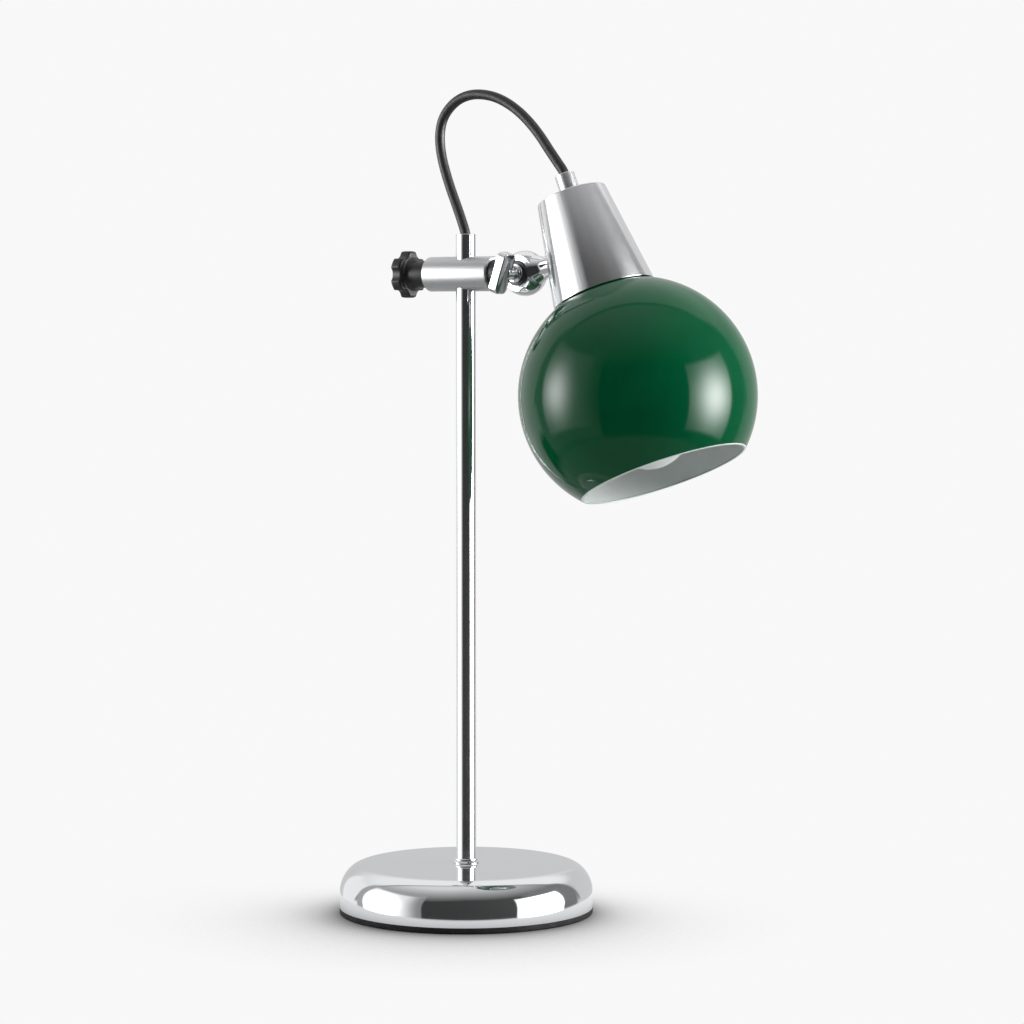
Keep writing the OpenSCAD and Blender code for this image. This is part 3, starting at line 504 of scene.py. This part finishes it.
stem_line = [(STEM_R + 3.4, -STEM_LEN + 8), (STEM_R, -STEM_LEN + BALL_R + 1.5), (STEM_R, 0.6), (0, 0.6)]
stem_line = [(0, -STEM_LEN + 2)] + rounded(stem_line, [0, 6, 0, 0], False, 10)
stem = lathe("ball_stem", stem_line, STEM, [chrome_knuckle], 128, False)
stands_for(stem, "head", "chrome")

rear_line = [(0, -HALF_REAR), (HALF_FACE_R, -HALF_REAR)]
rear_line += arc(BALL_R, latitude(-HALF_REAR) - 1, -90, 40)[:-1] + [(0, -BALL_R)]
ball_rear = lathe("ball_rear", rear_line, THUMB, [chrome_knuckle], 160, False)
stands_for(ball_rear, "swivel", "chrome", "knuckle_rear")
FLANGE_R, FLANGE_T, SWIVEL_R, SLIP_R, DISC_R = 9.0, 2, 8.0, 8.4, 12.9
slip_at, neck_at, neck_end = SLEEVE_FRONT + FIT, SLEEVE_FRONT + SLIP_T + FIT, BALL_X - 12.2
swivel_line = [(FLANGE_R, neck_at), (FLANGE_R, neck_at + FLANGE_T), (SWIVEL_R, neck_at + FLANGE_T),
               (SWIVEL_R, neck_end), (0, neck_end)]
swivel_line = [(0, neck_at)] + rounded(swivel_line, [0.4, 0.4, 0.3, 0.4, 0], False)
neck = lathe("swivel_neck", swivel_line, ARM, [chrome_knuckle], 128, False)
stands_for(neck, "swivel", "chrome")
slip_line = rounded([(STUD_R + HAIR, slip_at), (SLIP_R, slip_at), (SLIP_R, neck_at),
                     (STUD_R + HAIR, neck_at)], [0, 0.5, 0.5, 0])
washer = lathe("slip_ring", slip_line, ARM, [black_plastic], 128)
stands_for(washer, "swivel", "black_plastic", "slip_washer")
disc_line = rounded([(screw_r, -HALF_REAR), (DISC_R, -HALF_REAR), (DISC_R, HALF_REAR),
                     (screw_r, HALF_REAR)], 0.15)
disc = lathe("fibre_ring", disc_line, THUMB, [black_plastic], 128)
stands_for(disc, "swivel", "fibre", "fibre_disc")

# ------------------------------------------------------------------ lamp head
# the cap stands this far above the shade, which leaves a dark line between them
GAP = 0.6
CAP_TOP_T = 1.6
cap_line = [(CAP_LOW_R - 0.1, CAP_LOW + GAP), (CAP_HIGH_R, CAP_HIGH), (PIPE_R + HAIR, CAP_HIGH),
            (PIPE_R + HAIR, CAP_HIGH - CAP_TOP_T), (CAP_HIGH_R - CAP_WALL - 0.25, CAP_HIGH - CAP_TOP_T),
            (CAP_LOW_R - CAP_WALL, CAP_LOW + GAP + 0.55)]
cap = lathe("head_cap", rounded(cap_line, [0.5, 0.7, 0, 0, 0.3, 0.35]), HEAD, [satin_cap], 256)
stands_for(cap, "head", "satin_metal", "lamp_cap")
neck_top = CAP_HIGH + NECK_H
NECK_BORE, neck_foot = 4.4, CAP_HIGH - 0.8
neck_line = rounded([(NECK_BORE, neck_foot), (NECK_R, neck_foot), (NECK_R, neck_top),
                     (NECK_BORE, neck_top)], [0, 0, 0.6, 0.3])
cord_neck = lathe("cord_neck", neck_line, HEAD, [satin_neck], 128)
stands_for(cord_neck, "head", "satin_metal", "cap_neck")

rim = math.sqrt(SHADE_R ** 2 - MOUTH_DROP ** 2)
inner_r = SHADE_R - SHADE_WALL
inner_rim = math.sqrt(inner_r ** 2 - MOUTH_DROP ** 2)
top_angle = math.degrees(math.acos(SHADE_HOLE / SHADE_R))
mouth_angle = -math.degrees(math.asin(MOUTH_DROP / SHADE_R))
outer = arc(SHADE_R, top_angle, mouth_angle + 0.5, 90)
lip = rounded([outer[-1], (rim - 0.05, -MOUTH_DROP), (inner_rim + 0.05, -MOUTH_DROP),
               arc(inner_r, -45, mouth_angle + 0.9, 1)[-1]], [0, 0.45, 0.45, 0], False, 5)
inner = arc(inner_r, -math.degrees(math.asin(MOUTH_DROP / inner_r)) + 1.2,
            math.degrees(math.acos(SHADE_HOLE / inner_r)), 80)
profile = outer + lip[1:-1] + inner
lip_from, lip_to = len(outer) - 1, len(outer) + len(lip) - 2


def enamel(i):
    """Number of a band's enamel: 0 outside and on the top hole's edge, 1 on the lip, 2 inside."""
    if i < lip_from or i == len(profile) - 1:
        return 0
    return 1 if i < lip_to else 2


shade = lathe("globe_shade", profile, HEAD, [green_enamel, rim_enamel, white_enamel], 320, material_of=enamel)
stands_for(shade, "head", "green_enamel", "shade")

bulb_mid = -BULB_DROP + BULB_R
bulb_line = [(0, -BULB_DROP)] + arc(BULB_R, -89, 28.7, 60, (0, bulb_mid))[1:]
bulb_line += [(20.3, -2.9), (18.2, 4), (16.5, 11), (15, 19), (13.5, 27.5), (12.6, 34.4), (12.6, BULB_TOP)]
bulb = lathe("lamp_bulb", bulb_line + [(0, BULB_TOP)], HEAD, [frosted_glass], 160, False)
stands_for(bulb, "head", "bulb_glass", "bulb_glass")


# ------------------------------------------------------------------ small parts
def polar(name, rings, outline, place, materials, segments=288):
    """A solid between rings of (inset, z) round an outline r(angle).

    An inset of None is the middle, and an inset in brackets is a plain radius."""
    bm = bmesh.new()
    made = []
    for inset, z in rings:
        if inset is None:
            made.append([bm.verts.new((0, 0, z))])
            continue
        ring = []
        for k in range(segments):
            a = 2 * math.pi * k / segments
            r = inset[0] if isinstance(inset, tuple) else outline(a) - inset
            ring.append(bm.verts.new((r * math.cos(a), r * math.sin(a), z)))
        made.append(ring)
    for one, two in zip(made, made[1:]):
        for k in range(segments):
            n = (k + 1) % segments
            bm.faces.new(([one[0]] if len(one) == 1 else [one[k], one[n]])
                         + ([two[0]] if len(two) == 1 else [two[n], two[k]]))
    return finish_mesh(bm, name, place, materials)


KNOB_R, KNOB_T, KNOB_X, LOBES, SCALLOP = 14.3, 7.5, -40.0, 6, 5.8
KNOB_CHAMFER, KNOB_SOFT, HUB_R, HUB_FLARE, HUB_FLARE_L, HUB_END = 1.6, 0.35, 8.4, 2.4, 3.2, -27.4
SCALLOP_AT = KNOB_R + 0.6 * SCALLOP


def lobes(angle):
    """Radius of the knob's outline: lobes cut by round scallops, with softened corners."""
    step = 2 * math.pi / LOBES
    a = (angle % step) - step / 2
    inside = SCALLOP ** 2 - (SCALLOP_AT * math.sin(a)) ** 2
    if inside > 0:
        scallop = SCALLOP_AT * math.cos(a) - math.sqrt(inside)
    else:
        scallop = SCALLOP_AT + 4 * (abs(a) - math.asin(SCALLOP / SCALLOP_AT))
    d = KNOB_R - scallop
    return 0.5 * (KNOB_R + scallop - math.sqrt(d * d + KNOB_SOFT * KNOB_SOFT))


def quarter(radius, step):
    """A quarter round as (inset, rise) pairs, from the flat face to the side, every step degrees."""
    return [(radius * (1 - math.sin(math.radians(q))), radius * (1 - math.cos(math.radians(q))))
            for q in range(0, 91, step)]


edge = quarter(KNOB_CHAMFER, 9)
knob_rings = [(None, 0.35), ((7.6,), 0.35), ((8.0,), 0.0), ((11.0,), 0.0)] + [(i + 0.02, z) for i, z in edge]
knob_rings += [(i + 0.02, KNOB_T - z) for i, z in edge[::-1]]
knob_rings += [((10.9,), KNOB_T), (None, KNOB_T)]
knob = polar("star_knob", knob_rings, lobes, ARM @ Matrix.Translation((0, 0, KNOB_X - KNOB_T)),
             [knob_plastic])
stands_for(knob, "knob", "black_plastic", "clamp_knob")
flare = [(HUB_R + HUB_FLARE * inset, KNOB_X + HUB_FLARE_L * rise) for inset, rise in quarter(1, 9)]
hub_line = [(0, KNOB_X - 1)] + flare
hub_line += rounded([flare[-1], (8.0, HUB_END), (0, HUB_END)], [0, 0.7, 0], False)[1:]
hub = lathe("knob_hub", hub_line, ARM, [knob_plastic], 160, False)
stands_for(hub, "knob", "black_plastic")

bush_top = COLUMN_TOP - BUSH_GAP
mouth_line = rounded([(BUSH_BORE, BUSH_FOOT), (bore - FIT, BUSH_FOOT), (bore - FIT, bush_top),
                      (BUSH_BORE, bush_top)], [0, 0, 0.35, 0.35])
mouth = lathe("mouth_ring", mouth_line, WORLD, [black_plastic], 96)
stands_for(mouth, "mouth_bush", "black_plastic", "column_bush")
ring_foot, ring_top = neck_top - 8, neck_top - BUSH_GAP
ring_line = rounded([(CORD_R + HAIR, ring_foot), (NECK_BORE - HAIR, ring_foot), (NECK_BORE - HAIR, ring_top),
                     (CORD_R + HAIR, ring_top)], [0, 0, 0.3, 0.3])
neck_ring = lathe("neck_ring", ring_line, HEAD, [black_plastic], 96)
stands_for(neck_ring, "head", "black_plastic", "neck_bush")

INLET = Matrix.Translation((-BASE_R - 1.4, 0, 10.8)) @ Matrix.Rotation(math.pi / 2, 4, "Y")
INLET_R = 4.5
entry_line = [(BUSH_BORE, 0), (4.8, 0), (5.7, 1.4), (INLET_R - HAIR, 1.4), (INLET_R - HAIR, 3.42),
              (5.5, 3.42), (5.5, 4.8), (BUSH_BORE, 4.8)]
entry = lathe("inlet_ring", rounded(entry_line, [0.5, 0.4, 0.15, 0, 0, 0.1, 0.3, 0.3]), INLET, [rubber], 96)
stands_for(entry, "stand", "rubber", "inlet_grommet")
cut(shell, lathe("hole", [(0, 1.3), (INLET_R, 1.3), (INLET_R, 8), (0, 8)], INLET, [chrome_base], 96, False))

PLATE_Y, PLATE_T, PLATE_H, PLATE_W, PLATE_CORNER, PLATE_LEAN = 23.3, 6.5, 25.0, 11.5, 3.4, 19
RING_R, RING_T, SHANK_R, SHANK_FLANGE_R, SHANK_END = 7.6, 1.2, 4.2, 5.6, -9.2
ring_y, hub_y = FLAT_Y + FIT, FLAT_Y + FIT + RING_T + FIT
thumb_line = rounded([(screw_r, ring_y), (RING_R, ring_y), (RING_R, ring_y + RING_T),
                      (screw_r, ring_y + RING_T)], [0, 0.15, 0.35, 0])
thumb_ring = lathe("thumb_ring", thumb_line, THUMB, [black_plastic], 96)
stands_for(thumb_ring, "thumb_seat", "black_plastic", "thumb_washer")
flange_line = [(THUMB_R, hub_y), (SHANK_FLANGE_R, hub_y), (SHANK_FLANGE_R, hub_y + 1.6),
               (SHANK_R, hub_y + 1.75), (SHANK_R, PLATE_Y)]
shank_line = [(0, SHANK_END), (THUMB_R, SHANK_END)]
shank_line += rounded(flange_line, [0, 0.3, 0.4, 0.4, 0], False)[:-1]
shank_line += [(SHANK_R * x, PLATE_Y - 3 + 3 * y) for x, y in arc(1, 0, 90, 10)]
shank = lathe("thumb_shank", shank_line, THUMB, [chrome_knuckle], 128, False)
stands_for(shank, "thumb", "chrome", "thumb_screw")


def bar(angle):
    """Radius of the thumb plate's outline: a rectangle with rounded corners, along Y."""
    x, y = abs(math.cos(angle)), abs(math.sin(angle))
    w, h, r = PLATE_W / 2, PLATE_H / 2, PLATE_CORNER
    reach = min(w / max(x, 1e-9), h / max(y, 1e-9))
    cx, cy = w - r, h - r
    if reach * x > cx and reach * y > cy:
        along = cx * x + cy * y
        reach = along + math.sqrt(max(0.0, along ** 2 - (cx ** 2 + cy ** 2 - r ** 2)))
    return reach


PLATE_ROUND, face = 0.9, -PLATE_T / 2
plate_rings = [(None, face + 0.02), ((2.0,), face + 0.02), (2.6, face + 0.06), (1.5, face + 0.16)]
plate_rings += [(inset + 0.01, face + 0.2 + rise) for inset, rise in quarter(PLATE_ROUND, 10)]
plate_rings += [(i, -z) for i, z in plate_rings[::-1]]
PLATE = (THUMB @ Matrix.Rotation(math.radians(-PLATE_LEAN), 4, "Z")
         @ Matrix.Translation((0, 0, PLATE_Y)) @ Matrix.Rotation(math.pi / 2, 4, "Y"))
plate = polar("thumb_plate", plate_rings, bar, PLATE, [chrome_knuckle], 384)
stands_for(plate, "thumb", "chrome")

# ------------------------------------------------------------------ stage and light
bpy.context.scene.view_settings.view_transform = "Standard"
world = bpy.data.worlds.new("studio")
bpy.context.scene.world = world
world.use_nodes = True
sky = world.node_tree
sky.nodes.clear()


def wire(tree, value, socket):
    """Sets a socket to a number or links it to another node's output."""
    if isinstance(value, (int, float)):
        socket.default_value = value
    else:
        tree.links.new(value, socket)


def maths(tree, operation, *values):
    """The output of a math node with these inputs."""
    made = tree.nodes.new("ShaderNodeMath")
    made.operation = operation
    for value, socket in zip(values, made.inputs):
        wire(tree, value, socket)
    return made.outputs[0]


def rise(tree, value, low, high, start=0.0, end=1.0):
    """A smooth step from start at low to end at high."""
    made = tree.nodes.new("ShaderNodeMapRange")
    made.interpolation_type = "SMOOTHSTEP"
    wire(tree, value, made.inputs["Value"])
    for socket, number in zip(("From Min", "From Max", "To Min", "To Max"), (low, high, start, end)):
        wire(tree, number, made.inputs[socket])
    return made.outputs["Result"]


def window(tree, value, low, high, soft_low, soft_high):
    """1 between low and high, with soft edges of these widths centred on them."""
    return maths(tree, "MULTIPLY", rise(tree, value, low - soft_low / 2, low + soft_low / 2),
                 rise(tree, value, high - soft_high / 2, high + soft_high / 2, 1.0, 0.0))


def over(tree, below, mask, level):
    """below, with level painted over it where mask is 1."""
    return maths(tree, "ADD", maths(tree, "MULTIPLY", below, maths(tree, "SUBTRACT", 1.0, mask)),
                 maths(tree, "MULTIPLY", mask, level))


ray = sky.nodes.new("ShaderNodeTexCoord").outputs["Generated"]


def across(direction):
    """How far the ray points in a direction, from -1 to 1."""
    made = sky.nodes.new("ShaderNodeVectorMath")
    made.operation = "DOT_PRODUCT"
    sky.links.new(ray, made.inputs[0])
    made.inputs[1].default_value = direction
    return made.outputs["Value"]


def level_way(turn):
    """The level direction towards the front, turned about the column."""
    return math.sin(turn), -math.cos(turn), 0


UP = across((0, 0, 1))
# azimuth and elevation in degrees: azimuth 0 is the front, from where the first picture is taken, and
# it is positive to the right; elevation is above the horizon
AZ = maths(sky, "DEGREES", maths(sky, "ARCTAN2", across(level_way(CAMERA_TURN + math.pi / 2)),
                                 across(level_way(CAMERA_TURN))))
EL = maths(sky, "DEGREES", maths(sky, "ARCSINE", UP))
SIDE = maths(sky, "ABSOLUTE", AZ)


def bump_of(az, az_width, el, el_width, peak):
    """A round soft spot of light."""
    a = maths(sky, "DIVIDE", maths(sky, "SUBTRACT", AZ, az), az_width)
    e = maths(sky, "DIVIDE", maths(sky, "SUBTRACT", EL, el), el_width)
    far = maths(sky, "ADD", maths(sky, "MULTIPLY", a, a), maths(sky, "MULTIPLY", e, e))
    return maths(sky, "MULTIPLY", maths(sky, "EXPONENT", maths(sky, "MULTIPLY", far, -1.0)), peak)


def both(*masks):
    """The product of several masks."""
    made = masks[0]
    for mask in masks[1:]:
        made = maths(sky, "MULTIPLY", made, mask)
    return made


def panel(below, az, az_soft, el, el_soft, value):
    """below, with a value over a stretch of azimuth and elevation that has soft edges."""
    return over(sky, below, both(window(sky, AZ, *az, *az_soft), window(sky, EL, *el, *el_soft)), value)


# what polished metal and enamel mirror: a dark room in front, two soft boxes, and a pale tent behind
GREY_FLOOR = 0.36
CEILING_FROM, CEILING_SLOPE, CEILING_DARK, CEILING_PALE, CEILING_LEAN = 32.0, 0.0135, 0.02, 0.75, -0.22
TENT_LOW, TENT_HIGH, TENT_LINE = 0.62, 0.95, 0.3
FOLD_TURN, FOLD_PLACE, FOLD_LEAN, FOLD_SOFT = math.radians(3.5), 0.5, 0.33, 0.03
# the tent fills the directions behind a leaning plane, and a grey line marks its fold
fold = maths(sky, "SUBTRACT", maths(sky, "ADD", across(level_way(CAMERA_TURN + FOLD_TURN)), FOLD_PLACE),
             maths(sky, "MULTIPLY", UP, FOLD_LEAN))
behind = rise(sky, fold, -FOLD_SOFT, FOLD_SOFT, 1.0, 0.0)
above_floor = rise(sky, EL, -40, -34)
leaning = maths(sky, "ADD", EL, maths(sky, "MULTIPLY", maths(sky, "MINIMUM", AZ, 0.0), CEILING_LEAN))
leaning = maths(sky, "MAXIMUM", maths(sky, "SUBTRACT", leaning, CEILING_FROM), 0.0)
ceiling = maths(sky, "MULTIPLY_ADD", leaning, CEILING_SLOPE, CEILING_DARK)
ceiling = maths(sky, "MINIMUM", ceiling, CEILING_PALE)
level = over(sky, GREY_FLOOR, above_floor, ceiling)
level = over(sky, level, both(behind, above_floor), rise(sky, EL, 12, 45, TENT_LOW, TENT_HIGH))
level = panel(level, (-150, -100), (8, 4), (-20, 30), (8, 12), 0.95)
level = panel(level, (100, 165), (4, 8), (-36, 30), (6, 12), 0.6)
fold_line = both(window(sky, fold, -FOLD_SOFT, FOLD_SOFT, FOLD_SOFT, FOLD_SOFT), rise(sky, EL, -8, -2))
level = over(sky, level, fold_line, TENT_LINE)
# each soft box stands before a wall and is brightest at one spot
level = panel(level, (-116, -41), (3, 4), (-36, 40), (8, 16), 0.4)
level = panel(level, (60, 122), (8, 8), (-40, 42), (6, 12), 0.13)
left_light = maths(sky, "ADD", rise(sky, AZ, -62, -42, 0.9, 0.26), bump_of(-86.5, 13.8, 3, 16.5, 13.0))
level = panel(level, (-106, -41), (5, 4), (-25, 35), (5, 6), left_light)
right_light = maths(sky, "ADD", 1.1, bump_of(76, 17, 0, 18, 29.0))
level = panel(level, (48, 99), (3, 5), (-28, 28), (4, 5), right_light)

# what matt surfaces take their light from: the same two boxes, wide and low, a pale back and a dim ceiling
MATT_FRONT, MATT_BACK, MATT_RIGHT, MATT_LEFT, MATT_CEILING, SECOND_BOUNCE = 0.1, 0.6, 13.0, 4.5, 0.25, 0.1
PAPER = 0.94
ring = over(sky, MATT_FRONT, rise(sky, SIDE, 112, 124), MATT_BACK)
ring = over(sky, ring, window(sky, AZ, 60, 112, 8, 8), MATT_RIGHT)
ring = over(sky, ring, window(sky, AZ, -112, -60, 8, 8), MATT_LEFT)
soft = over(sky, ring, rise(sky, EL, 38, 52), MATT_CEILING)
path = sky.nodes.new("ShaderNodeLightPath")
bounced = maths(sky, "MINIMUM", path.outputs["Diffuse Depth"], 1.0)
level = over(sky, level, bounced, SECOND_BOUNCE)
level = over(sky, soft, path.outputs["Is Glossy Ray"], level)
level = over(sky, level, path.outputs["Is Camera Ray"], PAPER)
ground = sky.nodes.new("ShaderNodeBackground")
sky.links.new(level, ground.inputs["Color"])
sky.links.new(ground.outputs[0], sky.nodes.new("ShaderNodeOutputWorld").inputs["Surface"])

# the floor: paper that is matt, with a glow darkened round the foot as a painted contact shadow, and evenly
# bright further out
FLOOR_HALF, FLOOR_DROP = 4000, -0.2
# LIFT is the level of the paper's glow, which the painted contact shadow darkens round the foot
MATT_FLOOR, MATT_SHARE, LIFT = 0.75, 0.1, 0.79
SKY_SAMPLES, SKY_REACH, SKY_POWER, SKY_LEAN, SKY_UP = 12, 0.14, 2.6, 0.39, 0.92
FADE_FROM, FADE_TO = 0.12, 0.26
CLEAR_FROM, CLEAR_TO = 0.122, 0.130
bm = bmesh.new()
bmesh.ops.create_grid(bm, x_segments=1, y_segments=1, size=FLOOR_HALF)
paper = bpy.data.materials.new("paper_floor")
floor = finish_mesh(bm, "floor", Matrix.Translation((0, 0, FLOOR_DROP)), [paper])
paper.use_nodes = True
tree = paper.node_tree
tree.nodes.clear()
away = tree.nodes.new("ShaderNodeVectorMath")
away.operation = "LENGTH"
tree.links.new(tree.nodes.new("ShaderNodeTexCoord").outputs["Object"], away.inputs[0])
away = away.outputs["Value"]
light_path = tree.nodes.new("ShaderNodeLightPath")
glossy, seen = light_path.outputs["Is Glossy Ray"], light_path.outputs["Is Camera Ray"]
matte = tree.nodes.new("ShaderNodeBsdfDiffuse")
matte.inputs["Color"].default_value = (MATT_SHARE, MATT_SHARE, MATT_SHARE, 1)
glow = tree.nodes.new("ShaderNodeEmission")
tree.links.new(over(tree, over(tree, MATT_FLOOR, glossy, GREY_FLOOR), seen, PAPER), glow.inputs["Color"])
# painted shadow: how much sky the paper sees, leaning backward, darkens the paper's glow round the foot as a
# contact shadow
open_sky = tree.nodes.new("ShaderNodeAmbientOcclusion")
open_sky.samples = SKY_SAMPLES
open_sky.inputs["Distance"].default_value = SKY_REACH
backward = tree.nodes.new("ShaderNodeCombineXYZ")
lean = (-SKY_LEAN * math.sin(CAMERA_TURN), SKY_LEAN * math.cos(CAMERA_TURN), SKY_UP)
for socket, value in zip(backward.inputs, lean):
    socket.default_value = value
tree.links.new(backward.outputs[0], open_sky.inputs["Normal"])
painted_shadow_glow = tree.nodes.new("ShaderNodeEmission")
tree.links.new(maths(tree, "MULTIPLY", maths(tree, "POWER", open_sky.outputs["AO"], SKY_POWER), LIFT),
               painted_shadow_glow.inputs["Color"])
near = tree.nodes.new("ShaderNodeAddShader")
tree.links.new(matte.outputs[0], near.inputs[0])
tree.links.new(painted_shadow_glow.outputs[0], near.inputs[1])


def mixed(share, one, two):
    """A mix shader's output, from one at share 0 to two at share 1."""
    made = tree.nodes.new("ShaderNodeMixShader")
    for value, socket in zip((share, one.outputs[0], two.outputs[0]), made.inputs):
        tree.links.new(value, socket)
    return made


fade = mixed(rise(tree, away, FADE_FROM, FADE_TO), near, glow)
clear = tree.nodes.new("ShaderNodeBsdfTransparent")
mirrored = mixed(maths(tree, "MULTIPLY", glossy, rise(tree, away, CLEAR_FROM, CLEAR_TO)), fade, clear)
tree.links.new(mirrored.outputs[0], tree.nodes.new("ShaderNodeOutputMaterial").inputs["Surface"])
